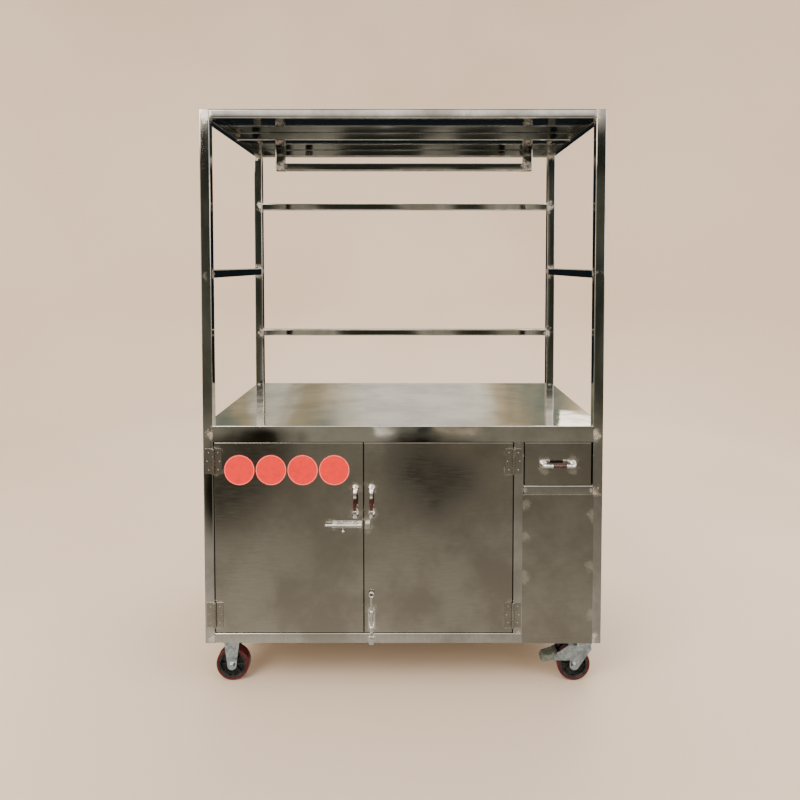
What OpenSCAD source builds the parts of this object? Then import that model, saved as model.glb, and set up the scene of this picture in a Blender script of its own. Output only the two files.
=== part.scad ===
// Push vending cart: a welded stainless tube frame that carries a closed cabinet, a thin worktop and a
// flat roof on four posts. It has two hinged doors, one drawer, two barrel bolts and four casters.
// +Z is up, +X runs along the cart and -Y faces whoever opens the doors.
// The origin is on the floor, under the middle of the whole cart, handles included.

/* [Overall] */
// Length along X, over the posts
overall_length = 1200; // [1000:10:1500]
// Depth along Y, over the posts
overall_depth = 630; // [520:5:800]
// Height from the floor to the top of the roof
overall_height = 1750; // [1700:10:2150]
// Height from the floor to the underside of the base rails
base_height = 145; // [142:1:180]
// Height from the floor to the top of the worktop
worktop_height = 810; // [720:5:900]

/* [Tubes] */
// Side of the square tube of the posts, base rails and uprights
post_side = 30; // [25:1:40]
// Side of the square tube of the roof rails and bars
rail_side = 25; // [20:1:30]
// Wall of every tube
tube_wall = 1.2; // [0.8:0.1:2]

/* [Bars] */
// Height of the middle of the two side bars
side_bar_z = 1265; // [1000:5:1400]
// Height of the middle of the lower rear bar
rear_lower_bar_z = 1020; // [950:5:1200]
// Height of the middle of the upper rear bar
rear_upper_bar_z = 1524; // [1300:5:1600]

/* [Hanging rail] */
// Distance between the middles of the two hangers
hanger_spacing = 860; // [400:10:900]
// Height of the hanging rail's own tube
hanging_rail_tall = 25; // [20:1:60]
// Distance from the middle of the hanging rail up to the roof frame
hanging_drop = 92; // [60:1:200]

/* [Sheets] */
// Thickness of the worktop sheet
worktop_gauge = 0.6; // [0.6:0.1:1.5]
// Height of the folded apron of the worktop
apron_drop = 48; // [35:1:60]
// Thickness of the roof, floor and panel sheets
sheet_gauge = 1; // [0.8:0.1:1.5]
// How far the fixed front sheet laps onto the tubes round it
panel_lap = 3; // [2:0.5:4]

/* [Doors] */
// Thickness of the doors and the drawer front
door_thickness = 20; // [15:1:25]
// Gap round the doors and the drawer front
door_gap = 2.5; // [2:0.1:4]
// Width of the lip folded inwards behind the doors and the drawer front
door_lip = 14; // [8:1:25]

/* [Hinges] */
// Length of each hinge
hinge_length = 76; // [50:1:90]
// Width of each hinge leaf from its pin
leaf_width = 25; // [18:1:25]
// Thickness of each hinge leaf
leaf_gauge = 1.5; // [1:0.1:2]
// Outer radius of the hinge knuckles
knuckle_r = 4.5; // [3.5:0.1:5]
// Radius of the hinge pins
hinge_pin_r = 2.5; // [2:0.1:2.8]
// Distance from the end of a door to the end of its hinge
hinge_inset = 18; // [10:1:60]

/* [Handles] */
// Length of the door handles
door_handle_length = 100; // [80:1:140]
// Length of the drawer handle
drawer_handle_length = 112; // [80:1:140]
// How far the handles stand out from the front
handle_reach = 28; // [24:1:40]
// Radius of a handle's bar
handle_bar_r = 5.5; // [3:0.1:6]
// Distance from a door's free edge to its handle
handle_inset = 23; // [14:1:40]
// Distance from the top of a door to the middle of its handle
handle_drop = 178; // [120:1:180]

/* [Bolts] */
// Radius of the bolt rods
rod_r = 4; // [3:0.1:4.5]
// Distance from the top of the doors to the cross bolt
cross_bolt_drop = 248; // [245:1:300]
// Distance from the right door's free edge to the lower bolt
lower_bolt_inset = 22; // [18:1:40]

/* [Drawer] */
// Width of the drawer bay between the upright and the right post
drawer_bay = 207; // [180:1:300]
// Height of the drawer front
drawer_front_tall = 128; // [110:1:160]
// Gap at the right of the drawer front
drawer_side_gap = 5; // [3:0.5:8]
// Length of the drawer box behind its front
drawer_length = 460; // [300:5:460]
// Height of the drawer box
drawer_box_tall = 100; // [60:1:100]

/* [Casters] */
// Radius of the wheels
wheel_r = 51; // [45:1:52]
// Width of the tread
tread_width = 32; // [26:1:34]
// Thickness of the tread
tread_thick = 8; // [5:1:10]
// Distance from the swivel axis back to the axle
caster_trail = 30; // [26:1:32]
// Distance from the cart's side to the swivel axis
swivel_inset = 40; // [40:1:60]
// Distance from the cart's side to the rigid casters' axle
rigid_inset = 69; // [60:1:80]
// Distance from the cart's front or back to the middle of a caster
caster_depth_inset = 55; // [50:1:80]
// Radius of the wheel axle's spacer tube
spacer_r = 7; // [6:0.1:8]

/* [Hidden] */
$fn = 64;

// ---- general clearances ----
cut = 1;               // how far a cutter runs past the face it cuts
fit = 0.06;            // radial clearance of a pin or shaft in its bore
body_gap = 0.4;        // clearance between pieces that move past each other

// ---- frame lines ----
half_l = overall_length / 2;
front_y = (handle_reach - overall_depth) / 2;
back_y = front_y + overall_depth;
mid_y = (front_y + back_y) / 2;
in_x = half_l - post_side;
frame_top = overall_height - sheet_gauge;
roof_under = frame_top - rail_side;
base_top = base_height + post_side;
counter_under = worktop_height - apron_drop;
counter_rail_tall = apron_drop - worktop_gauge;
post_gap_y = overall_depth - 2 * post_side;

upright_x = in_x - drawer_bay - post_side;
upright_mid = upright_x + post_side / 2;
doors_mid = (upright_x - in_x) / 2;
cross_xs = [doors_mid, upright_mid];

// ---- doors ----
door_bottom = base_top + door_gap;
door_top = counter_under - door_gap;
door_tall = door_top - door_bottom;
left_door_x = -in_x + door_gap;
left_edge_x = doors_mid - door_gap / 2;
right_door_x = doors_mid + door_gap / 2;
right_edge_x = upright_x - door_gap;
door_sheet = 0.8;

// ---- hinges ----
hinge_off = knuckle_r + 0.3;
left_hinge_x = -in_x + door_gap / 2;
right_hinge_x = upright_x - door_gap / 2;
hinge_zs = [door_bottom + hinge_inset, door_top - hinge_inset - hinge_length];
knuckle_share = 0.29;
end_knuckle = hinge_length * knuckle_share;

// ---- bolts ----
bolt_off = 8;
bolt_plate = 1.5;
bolt_half = 11;
guide_r = 7;
keeper_clearance = 0.5;
cross_bolt_z = door_top - cross_bolt_drop;
cross_body_long = 88;
cross_guide_long = 14;
cross_body_end = left_edge_x - 4;
cross_keeper_x = right_door_x + 4;
cross_keeper_long = 14;
lower_bolt_x = right_door_x + lower_bolt_inset;
lower_body_z = door_bottom + 12;
lower_body_long = 60;
lower_guide_long = 12;
lower_keeper_z = base_height + 5;
lower_keeper_long = 16;
lower_rod_z = door_bottom + 4.5;
lower_rod_long = 110;
eye_r = 7;
eye_wire_r = 2;

// ---- drawer ----
bay_x = upright_x + post_side;
drawer_rail_top = counter_under - 2 * door_gap - drawer_front_tall;
drawer_front_x = bay_x + door_gap;
drawer_front_wide = drawer_bay - door_gap - drawer_side_gap;
bay_mid = bay_x + drawer_bay / 2;
drawer_box_wide = drawer_bay - 27;
runner_gauge = 1.5;
runner_foot = 14;
runner_tall = 20;
runner_gap = 1;
drawer_box_z = drawer_rail_top + runner_gauge + body_gap;
drawer_box_y = front_y + door_thickness;

// ---- casters ----
plate_gauge = 3;
plate_x = 80;
plate_y = 95;
fork_gauge = 2.5;
fork_inside = tread_width + 6;
leg_tip_r = 14;
axle_r = 5;
bolt_head_across = 17;
bolt_head_thick = 6;
hub_width = fork_inside - 2;
hub_r = 14;
core_r = wheel_r - tread_thick;
plate_under = base_height - plate_gauge;
crown_under = 2 * wheel_r + 10;
crown_top = crown_under + 3;
race_r = 29;
race_split = (crown_top + plate_under) / 2;
upper_race_tall = plate_under - race_split - body_gap / 2;
kingpin_r = 6;
kingpin_head_r = 10;
kingpin_head_tall = 7;
pedal_x = -54;
pedal_z = 28;
pedal_peg_r = 3;
pedal_swing = 12;
rigid_x = rigid_inset - half_l;
swivel_x = half_l - swivel_inset;
right_axle_x = swivel_x - caster_trail;
front_caster_y = front_y + caster_depth_inset;
rear_caster_y = back_y - caster_depth_inset;

// ---- general shapes ----

// A square tube with its corner at the origin, open along the named axis
module tube(size, open) {
    inner = [
        size[0] - (open == "x" ? 0 : 2 * tube_wall),
        size[1] - (open == "y" ? 0 : 2 * tube_wall),
        size[2] - (open == "z" ? 0 : 2 * tube_wall)
    ];
    run = [open == "x" ? cut : 0, open == "y" ? cut : 0, open == "z" ? cut : 0];
    difference() {
        cube(size);
        translate([for (i = [0:2]) (size[i] - inner[i]) / 2 - run[i]])
            cube([for (i = [0:2]) inner[i] + 2 * run[i]]);
    }
}

// A shallow pan that faces -Y, with a lip folded inwards at its back
module pan(size) {
    difference() {
        cube(size);
        translate([door_sheet, door_sheet, door_sheet])
            cube([size[0] - 2 * door_sheet, size[1] - 2 * door_sheet, size[2] - 2 * door_sheet]);
        translate([door_lip, size[1] / 2, door_lip])
            cube([size[0] - 2 * door_lip, size[1], size[2] - 2 * door_lip]);
    }
}

// The footprints of the four posts, for cutting sheets
module post_cutters(z, tall) {
    for (x = [-half_l - cut, in_x])
        for (y = [front_y - cut, back_y - post_side])
            translate([x, y, z]) cube([post_side + cut, post_side + cut, tall]);
}

// ---- frame ----

module post(x, y) {
    color("silver")
        translate([x, y, base_height])
            tube([post_side, post_side, frame_top - base_height], "z");
}

module front_left_post() { post(-half_l, front_y); }

module front_right_post() { post(in_x, front_y); }

module rear_left_post() { post(-half_l, back_y - post_side); }

module rear_right_post() { post(in_x, back_y - post_side); }

module roof_long_rails() {
    color("silver")
        for (y = [front_y, back_y - rail_side])
            translate([-in_x, y, roof_under])
                tube([2 * in_x, rail_side, rail_side], "x");
}

module roof_side_rails() {
    color("silver")
        for (x = [-half_l, half_l - rail_side])
            translate([x, front_y + post_side, roof_under])
                tube([rail_side, post_gap_y, rail_side], "y");
}

module roof_middle_rail() {
    color("silver")
        translate([rail_side - half_l, mid_y - rail_side / 2, roof_under])
            tube([overall_length - 2 * rail_side, rail_side, rail_side], "x");
}

module roof_sheet() {
    color("gainsboro")
        translate([-half_l, front_y, frame_top])
            cube([overall_length, overall_depth, sheet_gauge]);
}

module hangers() {
    tall = hanging_drop + hanging_rail_tall / 2;
    color("silver")
        for (side = [-1, 1])
            translate([side * hanger_spacing / 2 - post_side / 2, mid_y - post_side / 2, roof_under - tall])
                tube([post_side, post_side, tall], "z");
}

module hanging_rail() {
    long = hanger_spacing - post_side;
    color("silver")
        translate([-long / 2, mid_y - rail_side / 2, roof_under - hanging_drop - hanging_rail_tall / 2])
            tube([long, rail_side, hanging_rail_tall], "x");
}

module side_bars() {
    inset = (post_side - rail_side) / 2;
    color("silver")
        for (x = [inset - half_l, half_l - inset - rail_side])
            translate([x, front_y + post_side, side_bar_z - rail_side / 2])
                tube([rail_side, post_gap_y, rail_side], "y");
}

module rear_bars() {
    inset = (post_side + rail_side) / 2;
    color("silver")
        for (z = [rear_lower_bar_z, rear_upper_bar_z])
            translate([-in_x, back_y - inset, z - rail_side / 2])
                tube([2 * in_x, rail_side, rail_side], "x");
}

// ---- counter ----

// One sheet with an apron folded down between the posts on all four sides
module worktop() {
    wide = overall_length - 2 * worktop_gauge;
    deep = overall_depth - 2 * worktop_gauge;
    color("gainsboro")
        difference() {
            translate([-half_l, front_y, counter_under])
                cube([overall_length, overall_depth, apron_drop]);
            translate([-wide / 2, front_y + worktop_gauge, counter_under - cut])
                cube([wide, deep, apron_drop - worktop_gauge + cut]);
            post_cutters(counter_under - cut, apron_drop + 2 * cut);
        }
}

module counter_long_rails() {
    color("silver")
        for (y = [front_y + worktop_gauge, back_y - worktop_gauge - rail_side])
            translate([-in_x, y, counter_under])
                tube([2 * in_x, rail_side, counter_rail_tall], "x");
}

module counter_cross_rails() {
    inner_y = front_y + worktop_gauge + rail_side;
    inner_long = overall_depth - 2 * (worktop_gauge + rail_side);
    color("silver") {
        for (x = [worktop_gauge - half_l, half_l - worktop_gauge - rail_side])
            translate([x, front_y + post_side, counter_under])
                tube([rail_side, post_gap_y, counter_rail_tall], "y");
        for (x = cross_xs)
            translate([x - rail_side / 2, inner_y, counter_under])
                tube([rail_side, inner_long, counter_rail_tall], "y");
    }
}

// ---- base ----

module base_long_rails() {
    color("silver")
        for (y = [front_y, back_y - post_side])
            translate([-in_x, y, base_height])
                tube([2 * in_x, post_side, post_side], "x");
}

module base_cross_rails() {
    color("silver")
        for (x = [-half_l, cross_xs[0] - post_side / 2, cross_xs[1] - post_side / 2, in_x])
            translate([x, front_y + post_side, base_height])
                tube([post_side, post_gap_y, post_side], "y");
}

module cabinet_floor() {
    start_y = front_y + door_thickness + 2;
    color("gainsboro")
        difference() {
            translate([sheet_gauge - half_l, start_y, base_top])
                cube([overall_length - 2 * sheet_gauge, back_y - sheet_gauge - start_y, sheet_gauge]);
            post_cutters(base_top - cut, sheet_gauge + 2 * cut);
            translate([upright_x, front_y, base_top - cut])
                cube([post_side, post_side, sheet_gauge + 2 * cut]);
        }
}

module door_upright() {
    color("silver")
        translate([upright_x, front_y, base_top])
            tube([post_side, post_side, counter_under - base_top], "z");
}

module drawer_rail() {
    color("silver")
        translate([bay_x, front_y, drawer_rail_top - post_side])
            tube([drawer_bay, post_side, post_side], "x");
}

module rear_middle_rail() {
    color("silver")
        translate([-in_x, back_y - sheet_gauge - rail_side, drawer_rail_top - rail_side])
            tube([2 * in_x, rail_side, rail_side], "x");
}

// ---- panels ----

module fixed_front_panel() {
    top = drawer_rail_top - post_side + panel_lap;
    color("gainsboro")
        translate([bay_x - panel_lap, front_y - sheet_gauge, base_height])
            cube([drawer_bay + 2 * panel_lap, sheet_gauge, top - base_height]);
}

module side_panels() {
    color("gainsboro")
        for (x = [-half_l, half_l - sheet_gauge])
            translate([x, front_y + post_side, base_top])
                cube([sheet_gauge, post_gap_y, counter_under - base_top]);
}

module rear_panel() {
    color("gainsboro")
        translate([-in_x, back_y - sheet_gauge, base_top])
            cube([2 * in_x, sheet_gauge, counter_under - base_top]);
}

// Two angles that stand on the drawer rail and on the rear middle rail
module drawer_runners() {
    start_y = front_y + door_thickness + 2;
    long = back_y - sheet_gauge - start_y;
    inner = drawer_box_wide / 2 + runner_gap;
    color("silver")
        for (side = [-1, 1])
            translate([bay_mid, start_y, drawer_rail_top]) {
                foot_x = side < 0 ? -inner - runner_gauge : inner + runner_gauge - runner_foot;
                wall_x = side < 0 ? -inner - runner_gauge : inner;
                union() {
                    translate([foot_x, 0, 0]) cube([runner_foot, long, runner_gauge]);
                    translate([wall_x, 0, 0]) cube([runner_gauge, long, runner_tall]);
                }
            }
}

// ---- doors ----

module left_door() {
    color("lightgray")
        translate([left_door_x, front_y, door_bottom])
            pan([left_edge_x - left_door_x, door_thickness, door_tall]);
}

module right_door() {
    color("lightgray")
        translate([right_door_x, front_y, door_bottom])
            pan([right_edge_x - right_door_x, door_thickness, door_tall]);
}

// ---- hinges ----

// One leaf of a hinge about a pin at the origin. toward is 1 for a leaf on the +X side of the pin.
// knuckles lists the start and the length of each knuckle that the leaf carries.
module hinge_leaf(toward, knuckles) {
    root = knuckle_r + body_gap + 0.6;
    difference() {
        union() {
            translate([toward > 0 ? root : -leaf_width, hinge_off - leaf_gauge, 0])
                cube([leaf_width - root, leaf_gauge, hinge_length]);
            for (k = knuckles)
                translate([0, 0, k[0]]) {
                    cylinder(r = knuckle_r, h = k[1]);
                    translate([toward > 0 ? 0 : -root - cut, hinge_off - leaf_gauge, 0])
                        cube([root + cut, leaf_gauge, k[1]]);
                }
        }
        translate([0, 0, -cut]) cylinder(r = hinge_pin_r + fit, h = hinge_length + 2 * cut);
    }
}

end_knuckles = [[0, end_knuckle], [hinge_length - end_knuckle, end_knuckle]];
middle_knuckle = [[end_knuckle + body_gap, hinge_length - 2 * (end_knuckle + body_gap)]];

module at_hinges(x) {
    for (z = hinge_zs)
        translate([x, front_y - hinge_off, z]) children();
}

module hinge_frame_leaves() {
    color("silver") {
        at_hinges(left_hinge_x) hinge_leaf(-1, end_knuckles);
        at_hinges(right_hinge_x) hinge_leaf(1, end_knuckles);
    }
}

module left_hinge_leaves() {
    color("silver") at_hinges(left_hinge_x) hinge_leaf(1, middle_knuckle);
}

module right_hinge_leaves() {
    color("silver") at_hinges(right_hinge_x) hinge_leaf(-1, middle_knuckle);
}

// A pin with a flat cap at each end
module hinge_pin() {
    cap = 1.2;
    cap_r = hinge_pin_r + 1.2;
    union() {
        cylinder(r = hinge_pin_r, h = hinge_length);
        translate([0, 0, -cap]) cylinder(r = cap_r, h = cap);
        translate([0, 0, hinge_length]) cylinder(r = cap_r, h = cap);
    }
}

module hinge_pins() {
    color("dimgray")
        for (x = [left_hinge_x, right_hinge_x])
            at_hinges(x) hinge_pin();
}

// ---- handles ----

// A bow handle along X on the plane y = 0, standing out towards -Y
module bow_handle(long) {
    foot_r = 11;
    foot_thick = 3;
    bend = 10;
    foot_x = long / 2 - foot_r;
    bar_off = handle_reach - handle_bar_r;
    rotate([90, 0, 0]) {
        for (side = [-1, 1])
            translate([side * foot_x, 0, 0]) {
                cylinder(r = foot_r, h = foot_thick);
                translate([0, 0, foot_thick]) cylinder(r1 = foot_r - 2, r2 = handle_bar_r, h = 4);
                cylinder(r = handle_bar_r, h = bar_off - bend);
                translate([-side * bend, 0, bar_off - bend])
                    rotate([90, 0, 0])
                        rotate_extrude(angle = side * 90, start = side > 0 ? 0 : 180)
                            translate([bend, 0]) circle(r = handle_bar_r);
            }
        translate([bend - foot_x, 0, bar_off])
            rotate([0, 90, 0]) cylinder(r = handle_bar_r, h = 2 * (foot_x - bend));
    }
}

module door_handle(x) {
    color("gainsboro")
        translate([x, front_y, door_top - handle_drop])
            rotate([0, 90, 0]) bow_handle(door_handle_length);
}

module left_door_handle() { door_handle(left_edge_x - handle_inset); }

module right_door_handle() { door_handle(right_door_x + handle_inset); }

module drawer_handle() {
    color("gainsboro")
        translate([
            drawer_front_x + drawer_front_wide / 2,
            front_y,
            drawer_rail_top + door_gap + drawer_front_tall / 2
        ])
            bow_handle(drawer_handle_length);
}

// ---- bolts ----

// A guide for a rod along Z, on a plate on the plane y = 0 that faces -Y, with its bore
module bolt_guide(long, bore_r) {
    difference() {
        union() {
            translate([0, -bolt_off, 0]) cylinder(r = guide_r, h = long);
            translate([-guide_r, -bolt_off, 0]) cube([2 * guide_r, bolt_off, long]);
        }
        translate([0, -bolt_off, -cut]) cylinder(r = bore_r, h = long + 2 * cut);
    }
}

// A plate with a guide at each end, for a rod along Z that starts at z = 0
module bolt_body(long, guide_long) {
    union() {
        translate([-bolt_half, -bolt_plate, 0]) cube([2 * bolt_half, bolt_plate, long]);
        bolt_guide(guide_long, rod_r + fit);
        translate([0, 0, long - guide_long]) bolt_guide(guide_long, rod_r + fit);
    }
}

// A plate with a square staple on it, for a rod along Z
module bolt_keeper(long) {
    half = rod_r + keeper_clearance;
    difference() {
        union() {
            translate([-bolt_half, -bolt_plate, 0]) cube([2 * bolt_half, bolt_plate, long]);
            translate([-guide_r, -bolt_off - guide_r, 0]) cube([2 * guide_r, bolt_off + guide_r, long]);
        }
        translate([-half, -bolt_off - half, -cut]) cube([2 * half, 2 * half, long + 2 * cut]);
    }
}

module cross_bolt_body() {
    color("silver")
        translate([cross_body_end - cross_body_long, front_y, cross_bolt_z])
            rotate([0, 90, 0]) bolt_body(cross_body_long, cross_guide_long);
}

// The rod rests drawn back, with a knob that hangs between the guides
module cross_bolt_rod() {
    rod_long = 110;
    knob_x = cross_body_end - cross_body_long + cross_guide_long + 18;
    knob_neck = 15;
    color("whitesmoke")
        translate([0, front_y - bolt_off, cross_bolt_z]) {
            translate([cross_body_end - rod_long, 0, 0])
                rotate([0, 90, 0]) cylinder(r = rod_r, h = rod_long);
            translate([knob_x, 0, -knob_neck]) cylinder(r = 2.5, h = knob_neck);
            translate([knob_x, 0, -knob_neck - 3]) sphere(r = 5);
        }
}

module cross_bolt_keeper() {
    color("silver")
        translate([cross_keeper_x, front_y, cross_bolt_z])
            rotate([0, 90, 0]) bolt_keeper(cross_keeper_long);
}

module lower_bolt_body() {
    color("silver")
        translate([lower_bolt_x, front_y, lower_body_z]) bolt_body(lower_body_long, lower_guide_long);
}

// The rod rests drawn up, with a round eye at its top
module lower_bolt_rod() {
    color("whitesmoke")
        translate([lower_bolt_x, front_y - bolt_off, lower_rod_z]) {
            cylinder(r = rod_r, h = lower_rod_long);
            translate([0, 0, lower_rod_long + eye_r])
                rotate([90, 0, 0])
                    rotate_extrude() translate([eye_r, 0]) circle(r = eye_wire_r);
        }
}

module lower_bolt_keeper() {
    color("silver")
        translate([lower_bolt_x, front_y, lower_keeper_z]) bolt_keeper(lower_keeper_long);
}

// ---- drawer ----

module drawer_box() {
    color("gainsboro")
        translate([bay_mid - drawer_box_wide / 2, drawer_box_y, drawer_box_z])
            difference() {
                cube([drawer_box_wide, drawer_length, drawer_box_tall]);
                translate([sheet_gauge, sheet_gauge, sheet_gauge])
                    cube([
                        drawer_box_wide - 2 * sheet_gauge,
                        drawer_length - 2 * sheet_gauge,
                        drawer_box_tall
                    ]);
            }
}

module drawer_front() {
    color("lightgray")
        translate([drawer_front_x, front_y, drawer_rail_top + door_gap])
            pan([drawer_front_wide, door_thickness, drawer_front_tall]);
}

// ---- rigid casters ----

module wheel_at(x, y) {
    translate([x, y, wheel_r]) rotate([90, 0, 0]) children();
}

module at_rigid_casters() {
    for (y = [front_caster_y, rear_caster_y])
        translate([rigid_x, y, 0]) children();
}

// One flat leg in the XZ plane with a round tip round the axle, centred on y = 0
module rigid_leg() {
    top_half = 26;
    rotate([90, 0, 0])
        translate([0, 0, -fork_gauge / 2])
            difference() {
                union() {
                    linear_extrude(fork_gauge)
                        polygon([
                            [-top_half, plate_under], [top_half, plate_under],
                            [leg_tip_r, wheel_r], [-leg_tip_r, wheel_r]
                        ]);
                    translate([0, wheel_r, 0]) cylinder(r = leg_tip_r, h = fork_gauge);
                }
                translate([0, wheel_r, -cut]) cylinder(r = axle_r + fit, h = fork_gauge + 2 * cut);
            }
}

module rigid_brackets() {
    color("silver")
        at_rigid_casters() {
            union() {
                translate([-plate_y / 2, -plate_x / 2, plate_under]) cube([plate_y, plate_x, plate_gauge]);
                for (side = [-1, 1])
                    translate([0, side * (fork_inside + fork_gauge) / 2, 0]) rigid_leg();
            }
        }
}

// An axle bolt with its head, nut and spacer tube, along Z through the origin
module axle() {
    outer = fork_inside / 2 + fork_gauge;
    spacer_half = fork_inside / 2 - 0.1;
    union() {
        cylinder(r = axle_r, h = 2 * outer + bolt_head_thick, center = true);
        cylinder(r = spacer_r, h = 2 * spacer_half, center = true);
        for (z = [outer, -outer - bolt_head_thick])
            translate([0, 0, z]) cylinder(d = bolt_head_across / cos(30), h = bolt_head_thick, $fn = 6);
    }
}

module left_axles() {
    color("silver")
        for (y = [front_caster_y, rear_caster_y])
            wheel_at(rigid_x, y) axle();
}

// ---- wheels ----

// A moulded core that runs on the spacer tube, turned about Z
module wheel_core() {
    web_half = 5;
    rim_half = tread_width / 2 - 1;
    rim_in_r = core_r - 6;
    color("dimgray")
        rotate_extrude()
            polygon([
                [spacer_r + fit, -hub_width / 2], [hub_r, -hub_width / 2], [hub_r + 1, -web_half],
                [rim_in_r - 1, -web_half], [rim_in_r, -rim_half], [core_r, -rim_half],
                [core_r, rim_half], [rim_in_r, rim_half], [rim_in_r - 1, web_half],
                [hub_r + 1, web_half], [hub_r, hub_width / 2], [spacer_r + fit, hub_width / 2]
            ]);
}

// A tread with chamfered shoulders that sits on the core's rim
module wheel_tread() {
    half = tread_width / 2;
    shoulder = 3;
    color("firebrick")
        rotate_extrude()
            polygon([
                [core_r, -half], [wheel_r - shoulder, -half], [wheel_r, -half + shoulder],
                [wheel_r, half - shoulder], [wheel_r - shoulder, half], [core_r, half]
            ]);
}

module front_left_wheel() { wheel_at(rigid_x, front_caster_y) wheel_core(); }

module rear_left_wheel() { wheel_at(rigid_x, rear_caster_y) wheel_core(); }

module front_right_wheel() { wheel_at(right_axle_x, front_caster_y) wheel_core(); }

module rear_right_wheel() { wheel_at(right_axle_x, rear_caster_y) wheel_core(); }

module front_left_tread() { wheel_at(rigid_x, front_caster_y) wheel_tread(); }

module rear_left_tread() { wheel_at(rigid_x, rear_caster_y) wheel_tread(); }

module front_right_tread() { wheel_at(right_axle_x, front_caster_y) wheel_tread(); }

module rear_right_tread() { wheel_at(right_axle_x, rear_caster_y) wheel_tread(); }

// ---- swivel casters ----

// The top plate with the upper half of the swivel race
module swivel_plates() {
    color("silver")
        for (y = [front_caster_y, rear_caster_y])
            translate([swivel_x, y, 0])
                difference() {
                    union() {
                        translate([-plate_x / 2, -plate_y / 2, plate_under])
                            cube([plate_x, plate_y, plate_gauge]);
                        translate([0, 0, plate_under - upper_race_tall])
                            cylinder(r1 = race_r - 3, r2 = race_r, h = upper_race_tall);
                    }
                    translate([0, 0, race_split - cut])
                        cylinder(r = kingpin_r + fit, h = plate_under - race_split + cut);
                }
}

module kingpins() {
    head_top = crown_under - body_gap;
    color("dimgray")
        for (y = [front_caster_y, rear_caster_y])
            translate([swivel_x, y, 0]) {
                translate([0, 0, head_top - kingpin_head_tall])
                    cylinder(r = kingpin_r, h = plate_under - head_top + kingpin_head_tall);
                translate([0, 0, head_top - kingpin_head_tall])
                    cylinder(r = kingpin_head_r, h = kingpin_head_tall);
            }
}

// One leg of a swivel fork in the XZ plane, with its swivel axis on x = 0, centred on y = 0
module swivel_leg() {
    axle_x = -caster_trail;
    pivot_x = axle_x + pedal_x;
    pivot_z = wheel_r + pedal_z;
    rotate([90, 0, 0])
        translate([0, 0, -fork_gauge / 2])
            difference() {
                union() {
                    linear_extrude(fork_gauge)
                        polygon([
                            [race_r - 8, crown_top], [race_r - 6, crown_top - 12],
                            [axle_x + leg_tip_r, wheel_r - 4], [axle_x - leg_tip_r, wheel_r - 4],
                            [axle_x - leg_tip_r, pivot_z - 11], [pivot_x - 2, pivot_z - 11],
                            [pivot_x - 9, pivot_z - 5], [pivot_x - 9, pivot_z + 5],
                            [axle_x - leg_tip_r - 4, crown_top]
                        ]);
                    translate([axle_x, wheel_r, 0]) cylinder(r = leg_tip_r, h = fork_gauge);
                }
                translate([axle_x, wheel_r, -cut]) cylinder(r = axle_r + fit, h = fork_gauge + 2 * cut);
                translate([pivot_x, pivot_z, -cut]) cylinder(r = pedal_peg_r + fit, h = fork_gauge + 2 * cut);
            }
}

module swivel_fork(y) {
    crown_start = -caster_trail - leg_tip_r - 4;
    color("silver")
        translate([swivel_x, y, 0])
            difference() {
                union() {
                    for (side = [-1, 1])
                        translate([0, side * (fork_inside + fork_gauge) / 2, 0]) swivel_leg();
                    translate([crown_start, -fork_inside / 2 - fork_gauge / 2, crown_under])
                        cube([race_r - 8 - crown_start, fork_inside + fork_gauge, crown_top - crown_under]);
                    translate([0, 0, crown_under])
                        cylinder(r = race_r, h = race_split - body_gap / 2 - crown_under);
                }
                translate([0, 0, crown_under - cut])
                    cylinder(r = kingpin_r + fit, h = race_split - crown_under + cut);
            }
}

module front_fork() { swivel_fork(front_caster_y); }

module rear_fork() { swivel_fork(rear_caster_y); }

module front_right_axle() {
    color("silver") wheel_at(right_axle_x, front_caster_y) axle();
}

module rear_right_axle() {
    color("silver") wheel_at(right_axle_x, rear_caster_y) axle();
}

// A folded pedal about a pivot at the origin, with its pegs and the shoe that presses the tread
module brake_pedal(y) {
    wide = fork_inside - 4;
    gauge = 2;
    peg_half = fork_inside / 2 + fork_gauge + 1.5;
    color("lightgray")
        translate([right_axle_x + pedal_x, y, wheel_r + pedal_z])
            rotate([90, 0, 0])
                union() {
                    difference() {
                        translate([0, 0, -wide / 2])
                            linear_extrude(wide)
                                polygon([
                                    [5, 6], [-6, 9], [-42, -2], [-49, -14],
                                    [-44, -19], [-14, -15], [4, -9]
                                ]);
                        translate([0, 0, gauge - wide / 2])
                            linear_extrude(wide - 2 * gauge)
                                polygon([
                                    [-7, -5], [-9, 4], [-41, -5], [-47, -16],
                                    [-44, -20 - cut], [-13, -17 - cut]
                                ]);
                    }
                    cylinder(r = pedal_peg_r, h = 2 * peg_half, center = true);
                }
}

module front_brake_pedal() { brake_pedal(front_caster_y); }

module rear_brake_pedal() { brake_pedal(rear_caster_y); }

// ---- which sub-parts are drawn ----

front_left_post();
front_right_post();
rear_left_post();
rear_right_post();
roof_long_rails();
roof_side_rails();
roof_middle_rail();
roof_sheet();
hangers();
hanging_rail();
side_bars();
rear_bars();
worktop();
counter_long_rails();
counter_cross_rails();
base_long_rails();
base_cross_rails();
door_upright();
drawer_rail();
rear_middle_rail();
fixed_front_panel();
side_panels();
rear_panel();
cabinet_floor();
drawer_runners();
hinge_frame_leaves();
hinge_pins();
lower_bolt_keeper();
rigid_brackets();
left_axles();
swivel_plates();
kingpins();
left_door();
left_hinge_leaves();
left_door_handle();
cross_bolt_body();
cross_bolt_rod();
right_door();
right_hinge_leaves();
right_door_handle();
cross_bolt_keeper();
lower_bolt_body();
lower_bolt_rod();
drawer_box();
drawer_front();
drawer_handle();
front_fork();
rear_fork();
front_right_axle();
rear_right_axle();
front_brake_pedal();
rear_brake_pedal();
front_left_wheel();
rear_left_wheel();
front_right_wheel();
rear_right_wheel();
front_left_tread();
rear_left_tread();
front_right_tread();
rear_right_tread();
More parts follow.
